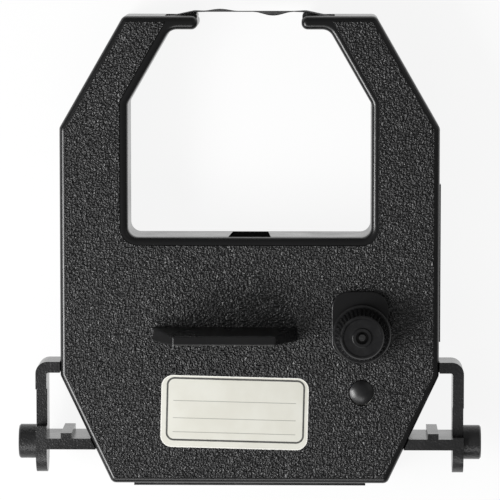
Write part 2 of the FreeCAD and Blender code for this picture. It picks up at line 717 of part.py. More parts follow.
def chamber_walls():
    """Walls and floor ribs of the ribbon chamber."""
    ceiling_y = WINDOW_FLOOR_Y - WALL
    wall_x_range = (CHAMBER_WALL_X, CHAMBER_WALL_X + INNER_WALL)
    heights = (FLOOR - JOIN, INNER_TOP_Z)
    upper = block(wall_x_range, (MOUTH_TOP_Y, ceiling_y + JOIN), heights)
    lower = block(wall_x_range, (-CASE_HALF_LENGTH + WALL - JOIN, MOUTH_BOTTOM_Y), heights)
    exit_post = post(EXIT_POST[0], EXIT_POST[1], EXIT_POST_R, FLOOR - JOIN, INNER_TOP_Z)
    baffle_x = (EXIT_POST[0], -WINDOW_HALF_WIDTH + JOIN)
    baffle = block(baffle_x, (ceiling_y - INNER_WALL, ceiling_y + RIB_JOIN), heights)
    walls = [upper, lower, exit_post, baffle]
    for y in FLOOR_RIB_YS:
        rib_y = (y - FLOOR_RIB / 2, y + FLOOR_RIB / 2)
        walls.append(block((-SIDE_HALF_WIDTH, CHAMBER_WALL_X), rib_y, (FLOOR - JOIN, RIBBON_BACK_Z)))
    base_room = prism(hollow_outline(WALL - RIB_JOIN), 0, PARTING_Z)
    cover_room = prism(hollow_outline(WALL + SEAM_CLEARANCE), PARTING_Z, INNER_TOP_Z)
    room = base_room.fuse(cover_room)
    return [wall.common(room) for wall in walls]


def guide_places():
    return {
        "left_guide_roller": (-GUIDE_X, GUIDE_Y),
        "right_guide_roller": (GUIDE_X, GUIDE_Y),
        "feed_guide_roller": (FEED_GUIDE_X, FEED_GUIDE_Y),
    }


def guide_posts():
    posts = []
    for x, y in guide_places().values():
        posts.append(post(x, y, GUIDE_SHOULDER_R, FLOOR - JOIN, GUIDE_BACK_Z - SHAFT_CLEARANCE))
        posts.append(post(x, y, GUIDE_POST_R, FLOOR, INNER_TOP_Z))
    return posts


def spring_line_y():
    """Lowest edge of the arm's tab, where the bow spring bears."""
    return IDLER_Y - SPRING_TAB_DROP - SPRING_TAB_THICKNESS


def spring_end_y():
    return spring_line_y() - SPRING_GAP - SPRING_BOW


def spring_keepers():
    """Slotted blocks that hold the two ends of the bow spring."""
    keepers = []
    for side in (-1, 1):
        end_x = IDLER_X + side * SPRING_SPAN / 2
        outer_x = end_x + side * LEAF_KEEPER
        inner_x = end_x - side * LEAF_KEEPER
        x = (min(outer_x, inner_x), max(outer_x, inner_x))
        y = (spring_end_y() - LEAF_KEEPER - SPRING_THICKNESS, spring_end_y() - SPRING_THICKNESS)
        keepers.append(block(x, y, (FLOOR - JOIN, FLOOR + SPRING_HEIGHT)))
        stop_x = (min(end_x, outer_x), max(end_x, outer_x))
        stop_y = (y[1] - RIB_JOIN, y[1] + LEAF_KEEPER)
        keepers.append(block(stop_x, stop_y, (FLOOR - JOIN, FLOOR + SPRING_HEIGHT)))
    return keepers


def pad_face_x():
    """X of the brake pad's face, just clear of the ribbon at the exit post."""
    return EXIT_POST[0] - EXIT_POST_R - RIBBON_LEAD - RIBBON_THICKNESS / 2 - RIBBON_GAP


def leaf_tail_x():
    """X of the side of the leaf's tail that faces the case wall."""
    return -SIDE_HALF_WIDTH + WALL + LEAF_WALL_GAP


def leaf_keepers():
    """Rib and block that clamp the leaf's tail beside the left wall."""
    tail_x = leaf_tail_x()
    y = (LEAF_TAIL_Y + LEAF_KEEPER_START, LEAF_END_Y)
    z = (FLOOR - JOIN, RIBBON_FRONT_Z)
    outer = block((tail_x - LEAF_WALL_GAP - RIB_JOIN, tail_x), y, z)
    inner = block((tail_x + LEAF_THICKNESS, tail_x + LEAF_THICKNESS + LEAF_KEEPER), y, z)
    return [outer, inner]


# Cover

def grip_fin():
    wires = []
    rise = [(FIN_BASE, CASE_DEPTH - RIB_JOIN), (FIN_TIP, CASE_DEPTH + FIN_HEIGHT)]
    for (length, thickness), z in rise:
        x, y = length / 2, thickness / 2
        wire = rounded_wire([
            (FIN_X - x, FIN_Y - y, FIN_CORNER_R),
            (FIN_X + x, FIN_Y - y, FIN_CORNER_R),
            (FIN_X + x, FIN_Y + y, FIN_CORNER_R),
            (FIN_X - x, FIN_Y + y, FIN_CORNER_R),
        ])
        wire.translate(V(0, 0, z))
        wires.append(wire)
    fin = Part.makeLoft(wires, True, True)
    return fin.makeFillet(FIN_TOP_R, edges_at(fin, CASE_DEPTH + FIN_HEIGHT))


def knob_pad():
    middle_x = DRIVE_X - PAD_SHIFT
    x = (middle_x - PAD_WIDTH / 2, middle_x + PAD_WIDTH / 2)
    y = (DRIVE_Y - PAD_BELOW_KNOB, DRIVE_Y + PAD_ABOVE_KNOB)
    wire = rounded_wire([
        (x[0], y[0], PAD_CORNER_R),
        (x[1], y[0], PAD_CORNER_R),
        (x[1], y[1], PAD_CORNER_R),
        (x[0], y[1], PAD_CORNER_R),
    ])
    pad = prism(wire, CASE_DEPTH - RIB_JOIN, PAD_Z)
    return pad.makeFillet(PAD_EDGE_R, edges_at(pad, PAD_Z))


def axle_slot():
    """Hole for the idler axle's head, long enough for the arm's swing."""
    travel = PIVOT_DX * math.sin(math.radians(IDLER_SWING_DEG))
    radius = AXLE_HEAD_R + AXLE_HOLE_GAP
    low, high = PLATE_Z - PAST, CASE_DEPTH + PAST
    upper = post(IDLER_X, IDLER_Y, radius, low, high)
    lower = post(IDLER_X, IDLER_Y - travel, radius, low, high)
    between = block((IDLER_X - radius, IDLER_X + radius), (IDLER_Y - travel, IDLER_Y), (low, high))
    return upper.fuse([lower, between])


def cover_shell():
    cover = prism(case_outline(), PARTING_Z, CASE_DEPTH)
    cover = cover.makeFillet(FRONT_EDGE_R, edges_at(cover, CASE_DEPTH))
    cover = cover.cut(prism(hollow_outline(WALL), PARTING_Z - PAST, PLATE_Z))
    groove = prism(
        hollow_outline(WALL - TONGUE_THICKNESS - SEAM_CLEARANCE),
        PARTING_Z - PAST, PARTING_Z + TONGUE_HEIGHT + SEAM_CLEARANCE,
    )
    cover = cover.cut(groove)
    boss_z = (PLATE_Z - PLUG_HEIGHT + PLUG_CLEARANCE, PLATE_Z + RIB_JOIN)
    bosses = [post(x, y, PLUG_POST_R, *boss_z) for x, y in PLUG_POSTS]
    cover = cover.fuse(bosses + [grip_fin(), knob_pad()])
    holes = [post(x, y, PLUG_PEG_R + PLUG_CLEARANCE, 0, PLATE_Z) for x, y in PLUG_POSTS]
    holes.append(post(DRIVE_X, DRIVE_Y, SPINDLE_R + SHAFT_CLEARANCE, PARTING_Z, PAD_Z + PAST))
    holes += [axle_slot(), latch_pocket(0, WINDOW_FLOOR_Y + WALL)]
    return cover.cut(holes).removeSplitter()


# Feed train

def feed_wheel(x, y, phase_deg, back_z):
    """Grooved roller at the ribbon with a spur gear in front of it."""
    roller = post(0, 0, FEED_ROLLER_R, back_z, GEAR_BACK_Z - WHEEL_GAP)
    neck = post(0, 0, GEAR_PITCH_R - ROOT_DEPTH * GEAR_MODULE, back_z, GEAR_TOP_Z)
    cutters = grooves(FEED_GROOVE_COUNT, FEED_ROLLER_R, FEED_ROLLER_R, FEED_GROOVE_DEPTH,
                      back_z - PAST, GEAR_BACK_Z)
    gear = prism(gear_wire(phase_deg), GEAR_BACK_Z, GEAR_TOP_Z)
    wheel = roller.cut(cutters).fuse([neck, gear])
    wheel.translate(V(x, y, 0))
    return wheel


def drive_gear():
    back_z = FLOOR + ARM_PLATE / 2
    wheel = feed_wheel(DRIVE_X, DRIVE_Y, -90, back_z)
    journal = post(DRIVE_X, DRIVE_Y, SPINDLE_R, SPINDLE_RECESS, KNOB_BACK_Z)
    hex_top = KNOB_EYE_Z - KNOB_EYE_FLOOR
    driver = prism(hexagon(SPINDLE_HEX), KNOB_BACK_Z - JOIN, hex_top)
    driver.translate(V(DRIVE_X, DRIVE_Y, 0))
    tip = post(DRIVE_X, DRIVE_Y, SPINDLE_TIP_R, hex_top - JOIN, KNOB_TOP_Z - KNOB_DISH)
    socket = post(DRIVE_X, DRIVE_Y, DRIVE_SOCKET_R, -PAST, SPINDLE_RECESS + DRIVE_SOCKET_DEPTH)
    key_reach = DRIVE_SOCKET_R + DRIVE_KEY_REACH
    keyway = block(
        (DRIVE_X - key_reach, DRIVE_X + key_reach),
        (DRIVE_Y - DRIVE_KEY_WIDTH / 2, DRIVE_Y + DRIVE_KEY_WIDTH / 2),
        (-PAST, SPINDLE_RECESS + DRIVE_SOCKET_DEPTH),
    )
    return wheel.fuse([journal, driver, tip]).cut([socket, keyway]).removeSplitter()


def idler_gear():
    back_z = ARM_BACK_Z + ARM_PLATE + 2 * SHAFT_CLEARANCE
    wheel = feed_wheel(IDLER_X, IDLER_Y, 90 + 180.0 / GEAR_TEETH, back_z)
    return wheel.cut(post(IDLER_X, IDLER_Y, AXLE_R + SHAFT_CLEARANCE, 0, CASE_DEPTH)).removeSplitter()


def idler_axle():
    """Headed pin whose domed head shows through the front."""
    neck_z = GEAR_TOP_Z + 2 * SHAFT_CLEARANCE
    rim_z = CASE_DEPTH - AXLE_RIM_SINK
    pin = post(IDLER_X, IDLER_Y, AXLE_R, ARM_BACK_Z + SHAFT_CLEARANCE, neck_z + RIB_JOIN)
    profile = [
        line(V(0, 0, neck_z), V(AXLE_HEAD_R, 0, neck_z)),
        line(V(AXLE_HEAD_R, 0, neck_z), V(AXLE_HEAD_R, 0, rim_z)),
    ]
    dome_r = (AXLE_HEAD_R ** 2 + AXLE_DOME_RISE ** 2) / (2 * AXLE_DOME_RISE)
    half = math.asin(AXLE_HEAD_R / dome_r) / 2
    middle = V(dome_r * math.sin(half), 0, rim_z + AXLE_DOME_RISE - dome_r * (1 - math.cos(half)))
    apex = V(0, 0, rim_z + AXLE_DOME_RISE)
    profile.append(arc(V(AXLE_HEAD_R, 0, rim_z), middle, apex))
    profile.append(line(apex, V(0, 0, neck_z)))
    head = Part.Face(Part.Wire(profile)).revolve(ORIGIN, UP, 360)
    head.translate(V(IDLER_X, IDLER_Y, 0))
    return pin.fuse(head).removeSplitter()


def idler_arm():
    """Flat arm under the idler, with its pivot boss and the tab that the spring bears on."""
    low, high = ARM_BACK_Z, ARM_BACK_Z + ARM_PLATE
    dx, dy = PIVOT_X - IDLER_X, PIVOT_Y - IDLER_Y
    length = math.hypot(dx, dy)
    side = V(-dy / length, dx / length, 0)
    axle, pivot = V(IDLER_X, IDLER_Y, 0), V(PIVOT_X, PIVOT_Y, 0)
    corners = [
        axle + side * ARM_PLATE_R, pivot + side * PIVOT_BOSS_R,
        pivot - side * PIVOT_BOSS_R, axle - side * ARM_PLATE_R,
    ]
    web = prism(polygon_wire([(c.x, c.y) for c in corners]), low, high)
    arm_end = post(axle.x, axle.y, ARM_PLATE_R, low, high)
    boss = post(pivot.x, pivot.y, PIVOT_BOSS_R, low, low + PIVOT_BOSS_HEIGHT)
    tab_x = (IDLER_X - SPRING_TAB_WIDTH / 2, IDLER_X + SPRING_TAB_WIDTH / 2)
    tab_y = (spring_line_y(), spring_line_y() + SPRING_TAB_THICKNESS)
    tail = block(tab_x, (tab_y[0], IDLER_Y), (low, high))
    tab = block(tab_x, tab_y, (low, FLOOR + SPRING_HEIGHT))
    arm = web.fuse([arm_end, boss, tail, tab])
    bores = [
        post(pivot.x, pivot.y, PIVOT_POST_R + SHAFT_CLEARANCE, 0, CASE_DEPTH),
        post(axle.x, axle.y, AXLE_R + SHAFT_CLEARANCE / 3, 0, CASE_DEPTH),
    ]
    return arm.cut(bores).removeSplitter()


def idler_spring():
    """Bow spring, held at both ends, whose middle bears on the arm's tab."""
    end_y = spring_end_y()
    crown_y = end_y + SPRING_BOW
    left, right = IDLER_X - SPRING_SPAN / 2, IDLER_X + SPRING_SPAN / 2
    t = SPRING_THICKNESS
    edges = [
        arc(V(left, end_y, 0), V(IDLER_X, crown_y, 0), V(right, end_y, 0)),
        line(V(right, end_y, 0), V(right, end_y - t, 0)),
        arc(V(right, end_y - t, 0), V(IDLER_X, crown_y - t, 0), V(left, end_y - t, 0)),
        line(V(left, end_y - t, 0), V(left, end_y, 0)),
    ]
    return prism(Part.Wire(edges), ARM_BACK_Z, FLOOR + SPRING_HEIGHT)


def ribbon_stripper():
    """Two prongs that peel the ribbon off the rollers where it enters the chamber."""
    low, high = FLOOR, RIBBON_FRONT_Z
    plate_z = FLOOR + STRIPPER_PLATE
    gap = RIBBON_THICKNESS / 2 + 2 * STRIPPER_GAP
    back_x = CHAMBER_WALL_X
    plate = block((back_x, STRIPPER_PLATE_X), (MOUTH_BOTTOM_Y, MOUTH_TOP_Y), (low, plate_z))
    upper = block((back_x, STRIPPER_TIP_X), (NIP_Y + gap, MOUTH_TOP_Y), (low, high))
    lower = block((back_x, STRIPPER_TIP_X), (MOUTH_BOTTOM_Y, NIP_Y - gap), (low, high))
    room_r = FEED_ROLLER_R + STRIPPER_GAP
    rooms = [
        post(DRIVE_X, DRIVE_Y, room_r, 0, CASE_DEPTH),
        post(IDLER_X, IDLER_Y, room_r, 0, CASE_DEPTH),
    ]
    return plate.fuse([upper, lower]).cut(rooms).removeSplitter()


def guide_roller(x, y):
    bore = GUIDE_POST_R + SHAFT_CLEARANCE
    waist_low, waist_high = RIBBON_BACK_Z - RIBBON_GAP, RIBBON_FRONT_Z + RIBBON_GAP
    return turned([
        (bore, GUIDE_BACK_Z),
        (GUIDE_FLANGE_R, GUIDE_BACK_Z),
        (GUIDE_FLANGE_R, waist_low),
        (GUIDE_ROLLER_R, waist_low),
        (GUIDE_ROLLER_R, waist_high),
        (GUIDE_FLANGE_R, waist_high),
        (GUIDE_FLANGE_R, GUIDE_FRONT_Z),
        (bore, GUIDE_FRONT_Z),
    ], x, y)


# Knob

def advance_knob():
    rim_z = KNOB_TOP_Z - KNOB_DISH
    roof_z = KNOB_EYE_Z - KNOB_ROOF
    body = turned([
        (0, KNOB_BACK_Z),
        (KNOB_SOCKET_R, KNOB_BACK_Z),
        (KNOB_SOCKET_R, roof_z),
        (KNOB_TOP_R - KNOB_WALL, roof_z),
        (KNOB_GRIP_FOOT_R - KNOB_WALL, KNOB_BACK_Z),
        (KNOB_FLANGE_R - KNOB_EDGE, KNOB_BACK_Z),
        (KNOB_FLANGE_R, KNOB_BACK_Z + KNOB_EDGE),
        (KNOB_FLANGE_R, KNOB_GRIP_Z - KNOB_EDGE),
        (KNOB_FLANGE_R - KNOB_EDGE, KNOB_GRIP_Z),
        (KNOB_GRIP_FOOT_R, KNOB_GRIP_Z),
        (KNOB_TOP_R, KNOB_TOP_Z - KNOB_EDGE),
        (KNOB_TOP_R - KNOB_EDGE, KNOB_TOP_Z),
        (KNOB_DISH_R, KNOB_TOP_Z),
        (KNOB_DISH_R - KNOB_DISH, rim_z),
        (KNOB_HUB_R + KNOB_DISH / 2, rim_z),
        (KNOB_HUB_R, KNOB_TOP_Z),
        (0, KNOB_TOP_Z),
    ])
    groove_top = KNOB_TOP_Z - KNOB_SMOOTH_RIM
    grip = grooves(KNOB_GROOVE_COUNT, KNOB_GRIP_FOOT_R, KNOB_TOP_R, KNOB_GROOVE_DEPTH, KNOB_GRIP_Z, groove_top)
    eye = post(0, 0, KNOB_EYE_R, KNOB_EYE_Z, KNOB_TOP_Z + PAST)
    hexagonal = hexagon(SPINDLE_HEX + 2 * HEX_CLEARANCE)
    socket = prism(hexagonal, KNOB_BACK_Z - PAST, KNOB_EYE_Z - KNOB_EYE_FLOOR + HEX_CLEARANCE)
    throat = post(0, 0, SPINDLE_TIP_R + SHAFT_CLEARANCE, KNOB_BACK_Z, KNOB_TOP_Z)
    knob = body.cut([grip, eye, socket, throat])
    knob.translate(V(DRIVE_X, DRIVE_Y, 0))
    return knob.removeSplitter()


# Ribbon, brake and label

def ink_ribbon():
    route = ribbon_route()
    half = RIBBON_THICKNESS / 2
    outer = closed_belt(route, half)
    inner = closed_belt(route, -half)
    face = Part.Face(outer).cut(Part.Face(inner))
    face.translate(V(0, 0, RIBBON_BACK_Z))
    return face.extrude(V(0, 0, RIBBON_WIDTH))


def tension_leaf():
    """Spring strip: straight behind the pad, then bent out to the keepers at the wall."""
    leaf_x, tail_x = pad_face_x() - BRAKE_PAD[0], leaf_tail_x()
    t = LEAF_THICKNESS
    low_y = EXIT_POST[1] - BRAKE_PAD[1] / 2
    high_y = EXIT_POST[1] + BRAKE_PAD[1] / 2
    strip = rounded_wire([
        (leaf_x - t, low_y, 0),
        (leaf_x, low_y, 0),
        (leaf_x, high_y, LEAF_BEND_R),
        (tail_x + t, LEAF_TAIL_Y, LEAF_TAIL_BEND_R),
        (tail_x + t, LEAF_END_Y, 0),
        (tail_x, LEAF_END_Y, 0),
        (tail_x, LEAF_TAIL_Y, LEAF_TAIL_BEND_R + t),
        (leaf_x - t, high_y, LEAF_BEND_R - t),
    ])
    return prism(strip, RIBBON_BACK_Z, RIBBON_FRONT_Z - LEAF_SIDE_GAP)


def brake_pad():
    face_x = pad_face_x()
    y = (EXIT_POST[1] - BRAKE_PAD[1] / 2, EXIT_POST[1] + BRAKE_PAD[1] / 2)
    return block((face_x - BRAKE_PAD[0], face_x), y, (RIBBON_BACK_Z, RIBBON_FRONT_Z - LEAF_SIDE_GAP))


def label():
    x, y = LABEL_SIZE[0] / 2, LABEL_SIZE[1] / 2
    corners = [(-x, -y), (x, -y), (x, y), (-x, y)]
    wire = rounded_wire([(*corner, LABEL_CORNER_R) for corner in corners])
    plate = prism(wire, CASE_DEPTH, CASE_DEPTH + LABEL_THICKNESS)
    plate.rotate(ORIGIN, UP, LABEL_TILT_DEG)
    plate.translate(V(LABEL_X, LABEL_Y, 0))
    return plate


def build():
    parts = {
        "base_shell": base_shell(),
        "cover_shell": cover_shell(),
        "drive_gear": drive_gear(),
        "advance_knob": advance_knob(),
        "idler_gear": idler_gear(),
        "idler_axle": idler_axle(),
        "idler_arm": idler_arm(),
        "idler_spring": idler_spring(),
        "ribbon_stripper": ribbon_stripper(),
        "ink_ribbon": ink_ribbon(),
        "tension_leaf": tension_leaf(),
        "brake_pad": brake_pad(),
        "label": label(),
    }
    for name, (x, y) in guide_places().items():
        parts[name] = guide_roller(x, y)
    return parts


os.makedirs("parts", exist_ok=True)
for node, shape in build().items():
    shape.exportStep(f"parts/{node}.step")
    print(node, shape.isValid(), len(shape.Solids), round(shape.Volume, 1), shape.BoundBox)
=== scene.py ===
import json
import math

import bpy
from mathutils import Matrix, Vector

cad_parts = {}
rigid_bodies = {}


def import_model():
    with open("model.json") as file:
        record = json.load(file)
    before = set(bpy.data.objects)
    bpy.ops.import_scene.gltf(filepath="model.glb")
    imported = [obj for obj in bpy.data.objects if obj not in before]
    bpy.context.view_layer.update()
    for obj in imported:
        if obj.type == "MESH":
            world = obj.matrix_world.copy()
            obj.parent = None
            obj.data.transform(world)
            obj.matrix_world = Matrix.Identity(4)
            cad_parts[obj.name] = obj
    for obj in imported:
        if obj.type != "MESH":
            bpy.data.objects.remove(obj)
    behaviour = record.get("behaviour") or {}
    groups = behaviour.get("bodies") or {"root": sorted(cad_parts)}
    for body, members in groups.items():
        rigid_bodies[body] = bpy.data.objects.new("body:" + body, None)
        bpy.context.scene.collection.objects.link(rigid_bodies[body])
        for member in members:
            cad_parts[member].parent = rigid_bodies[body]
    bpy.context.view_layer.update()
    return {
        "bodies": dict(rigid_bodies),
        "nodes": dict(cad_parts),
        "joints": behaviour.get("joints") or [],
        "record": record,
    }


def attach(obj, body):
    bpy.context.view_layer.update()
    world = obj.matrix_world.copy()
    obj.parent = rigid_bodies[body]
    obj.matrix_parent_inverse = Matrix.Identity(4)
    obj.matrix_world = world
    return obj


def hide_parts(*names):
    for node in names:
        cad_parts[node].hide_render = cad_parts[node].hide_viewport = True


# Sizes repeated from the part, in millimetres
MM = 0.001
CASE_HALF_LENGTH = 56.35
TOP_HALF_WIDTH = 30.25
SIDE_HALF_WIDTH = 45.6
SHOULDER_Y = 29.6
HIP_Y = -30.2
FOOT_HALF_WIDTH = 33.2
WINDOW_HALF_WIDTH = 29.2
WINDOW_FLOOR_Y = 3.3
WINDOW_SHOULDER_Y = 35.4
WINDOW_CORNER_R = 2.5
ARM_UNDERSIDE_Y = 53.15
ARM_ROOT_X = 19.0
FACE_Z = 17.5
WALL = 1.6

# Smooth border round the grain of the front, in millimetres
CASE_BORDER = 1.3
WINDOW_BORDER = 1.9
BORDER_BLUR = 0.12
GRAIN_TOP = (0.12, 0.04)

# Label, with its printed frame and ruled lines, in millimetres
LABEL_CENTRE = (-3.6, -39.05)
LABEL_SIZE = (35.5, 17.5)
LABEL_CORNER_R = 2.8
LABEL_TILT_DEG = -1.4
LABEL_RIM = 0.35
FRAME_SHIFT = (0.2, 0.56)
FRAME_HALF_SIZE = (16.45, 7.5)
FRAME_CORNER_R = 1.7
FRAME_INK = (0.28, 0.17)
RULE_HEIGHTS = (2.6, -1.6, -5.0)
RULE_ENDS = (14.9, 14.7)
RULE_INK = (0.11, 0.05)
RULE_STRENGTH = 0.55

# Ribbon route, in millimetres: what it passes is given as x, y and radius,
# and LEAD is the distance from there to the ribbon's middle
RIBBON_WIDTH = 10.0
RIBBON_THICKNESS = 0.12
RIBBON_BACK_Z = 3.0
LEAD = 0.12
GUIDE_R = 2.2
LEFT_GUIDE = (-35.6, 34.4, GUIDE_R)
ARM_NOSES = [(-18.9, 54.95, 1.0), (-13.5, 56.2, 0.9)]
FEED_GUIDE_X = 37.2
FEED_LINE_Y = -26.9
CHAMBER_MOUTH = (15.7, -24.4, 2.5)
LEFT_POST = (-36.6, 2.0, 1.6)
FOLD_PAIRS = 9
FOLDS_START_X = 13.2
FOLDS_END_X = -38.8
FOLD_TOP_Y = -5.2
FOLD_BOTTOM_Y = -51.0
FOLD_UNEVENNESS = 1.2
FOLD_CLEARANCE = 1.5
ARC_STEP = 0.3
SPAN_STEP = 0.5

# Slack over the gap: a swell is its x, its half width and how far it stands out
GAP_HALF_WIDTH = 13.0
GAP_LOWEST_Y = 50
BACK_SWELL = (-7.4, 4.6, 0.50)
FRONT_SWELL = (5.6, 5.0, -0.90)
SLACK_EASE = 2.5
TWIST = 0.24
SAG = 0.14
BAND_ROWS = 8

# Middle range of a noise, where nearly all of its values lie
NOISE_RANGE = (0.3, 0.7)

# Stage, in metres and watts
TABLE_HALF_SIZE = 3
TABLE_DROP = 0.00005
TABLE_GLOW = 0.90
WORLD_STRENGTH = 0.16
LIGHT_AIM = (0, 0, 0.01)
LIGHTS = [
    ("left_box", (-0.34, -0.13, 0.31), (0.30, 0.15), 2.7),
    ("lower_box", (-0.16, -0.62, 0.62), (0.7, 0.3), 2.3),
    ("right_fill", (0.85, 0.45, 0.55), (0.7, 0.7), 0.4),
]
CAMERA_PLACE = (0.0167, 0.0894, 0.9151)
CAMERA_AIM = (0.00014, 0.00034, 0.0175)
SENSOR_WIDTH_MM = 36.0
FOCAL_LENGTH_MM = 270.7


class Nodes:
    """A material's node tree, with short calls for the nodes it is built from."""

    def __init__(self, name):
        self.material = bpy.data.materials.new(name)
        self.material.use_nodes = True
        self.tree = self.material.node_tree
        self.tree.nodes.clear()
        self.output = self.tree.nodes.new("ShaderNodeOutputMaterial")
        self.place = self.tree.nodes.new("ShaderNodeTexCoord").outputs["Object"]

    def add(self, kind, *values, **settings):
        node = self.tree.nodes.new(kind)
        for key, value in settings.items():
            setattr(node, key, value)
        for i, value in enumerate(values):
            self.feed(node.inputs[i], value)
        return node

    def feed(self, socket, value):
        if isinstance(value, bpy.types.NodeSocket):
            self.tree.links.new(value, socket)
        elif value is not None:
            socket.default_value = value

    def math(self, operation, *values):
        return self.add("ShaderNodeMath", *values, operation=operation).outputs[0]

    def vector(self, operation, *values):
        return self.add("ShaderNodeVectorMath", *values, operation=operation).outputs[0]

    def split(self, vector):
        return self.add("ShaderNodeSeparateXYZ", vector).outputs

    def smooth(self, value, low, high):
        node = self.add("ShaderNodeMapRange", value, low, high, 0.0, 1.0)
        node.interpolation_type = "SMOOTHSTEP"
        return node.outputs[0]

    def scale(self, value, low, high, to_low, to_high):
        return self.add("ShaderNodeMapRange", value, low, high, to_low, to_high).outputs[0]

    def spread(self, noise, to_low, to_high):
        return self.scale(noise, *NOISE_RANGE, to_low, to_high)

    def noise_node(self, size_mm, detail=2.0, roughness=0.5, place=None):
        node = self.add("ShaderNodeTexNoise")
        self.feed(node.inputs["Vector"], place or self.place)
        node.inputs["Scale"].default_value = 1.0 / (size_mm * MM)
        node.inputs["Detail"].default_value = detail
        node.inputs["Roughness"].default_value = roughness
        return node

    def noise(self, *values):
        return self.noise_node(*values).outputs["Fac"]

    def voronoi(self, size_mm, feature="F1", place=None):
        node = self.add("ShaderNodeTexVoronoi", feature=feature)
        self.feed(node.inputs["Vector"], place or self.place)
        node.inputs["Scale"].default_value = 1.0 / (size_mm * MM)
        return node.outputs["Distance"]

    def mix(self, factor, low, high):
        node = self.add("ShaderNodeMix", data_type="RGBA")
        self.feed(node.inputs[0], factor)
        self.feed(node.inputs[6], low)
        self.feed(node.inputs[7], high)
        return node.outputs[2]

    def blend(self, factor, low, high):
        node = self.add("ShaderNodeMix", data_type="FLOAT")
        self.feed(node.inputs[0], factor)
        self.feed(node.inputs[2], low)
        self.feed(node.inputs[3], high)
        return node.outputs[0]

    def bump(self, height, depth_mm, strength=1.0, under=None):
        node = self.add("ShaderNodeBump")
        self.feed(node.inputs["Height"], height)
        self.feed(node.inputs["Strength"], strength)
        node.inputs["Distance"].default_value = depth_mm * MM
        self.feed(node.inputs["Normal"], under)
        return node.outputs[0]

    def surface(self, color, roughness, normal=None, **settings):
        shader = self.add("ShaderNodeBsdfPrincipled")
        self.feed(shader.inputs["Base Color"], color)
        self.feed(shader.inputs["Roughness"], roughness)
        self.feed(shader.inputs["Normal"], normal)
        for key, value in settings.items():
            shader.inputs[key.replace("_", " ")].default_value = value
        self.tree.links.new(shader.outputs[0], self.output.inputs[0])
        return self.material


def rgb(red, green, blue):
    return (red, green, blue, 1.0)


def distance_inside(nodes, x, y, start, end):
    """Distance in millimetres from a line to points on its left."""
    dx, dy = end[0] - start[0], end[1] - start[1]
    length = math.hypot(dx, dy)
    offset = (dy * start[0] - dx * start[1]) / length
    across = nodes.math("MULTIPLY_ADD", x, -dy / length / MM, offset)
    return nodes.math("MULTIPLY_ADD", y, dx / length / MM, across)


def rounded_corner(nodes, first, second, radius):
    """Distance outside the rounded corner of two edges, from the distances outside each edge."""
    over_first = nodes.math("ADD", first, radius)
    over_second = nodes.math("ADD", second, radius)
    out_first = nodes.math("POWER", nodes.math("MAXIMUM", over_first, 0.0), 2.0)
    out_second = nodes.math("POWER", nodes.math("MAXIMUM", over_second, 0.0), 2.0)
    corner = nodes.math("SQRT", nodes.math("ADD", out_first, out_second))
    side = nodes.math("MINIMUM", nodes.math("MAXIMUM", over_first, over_second), 0.0)
    return nodes.math("SUBTRACT", nodes.math("ADD", corner, side), radius)


def grain_mask(nodes):
    """1 on the grained front, 0 on its smooth border, the arm tips and whatever stands on the front."""
    x, y, z = nodes.split(nodes.place)
    x = nodes.math("ABSOLUTE", x)
    outside = [
        (FOOT_HALF_WIDTH, -CASE_HALF_LENGTH),
        (SIDE_HALF_WIDTH, HIP_Y),
        (SIDE_HALF_WIDTH, SHOULDER_Y),
        (TOP_HALF_WIDTH, CASE_HALF_LENGTH),
        (0, CASE_HALF_LENGTH),
    ]
    case = nodes.math("SUBTRACT", CASE_HALF_LENGTH, nodes.math("MULTIPLY", y, -1 / MM))
    for start, end in zip(outside, outside[1:]):
        case = nodes.math("MINIMUM", case, distance_inside(nodes, x, y, start, end))
    below = nodes.math("SUBTRACT", WINDOW_FLOOR_Y, nodes.math("MULTIPLY", y, 1 / MM))
    rim = [(WINDOW_HALF_WIDTH, WINDOW_FLOOR_Y), (WINDOW_HALF_WIDTH, WINDOW_SHOULDER_Y)]
    beside = distance_inside(nodes, x, y, rim[1], rim[0])
    window = rounded_corner(nodes, below, beside, WINDOW_CORNER_R)
    slant = [(WINDOW_HALF_WIDTH, WINDOW_SHOULDER_Y), (ARM_ROOT_X, ARM_UNDERSIDE_Y)]
    window = nodes.math("MAXIMUM", window, distance_inside(nodes, x, y, slant[1], slant[0]))
    case = nodes.smooth(case, CASE_BORDER - BORDER_BLUR, CASE_BORDER + BORDER_BLUR)
    window = nodes.smooth(window, WINDOW_BORDER - BORDER_BLUR, WINDOW_BORDER + BORDER_BLUR)
    flat = nodes.smooth(z, (FACE_Z + GRAIN_TOP[0]) * MM, (FACE_Z + GRAIN_TOP[1]) * MM)
    return nodes.math("MULTIPLY", nodes.math("MULTIPLY", case, window), flat)


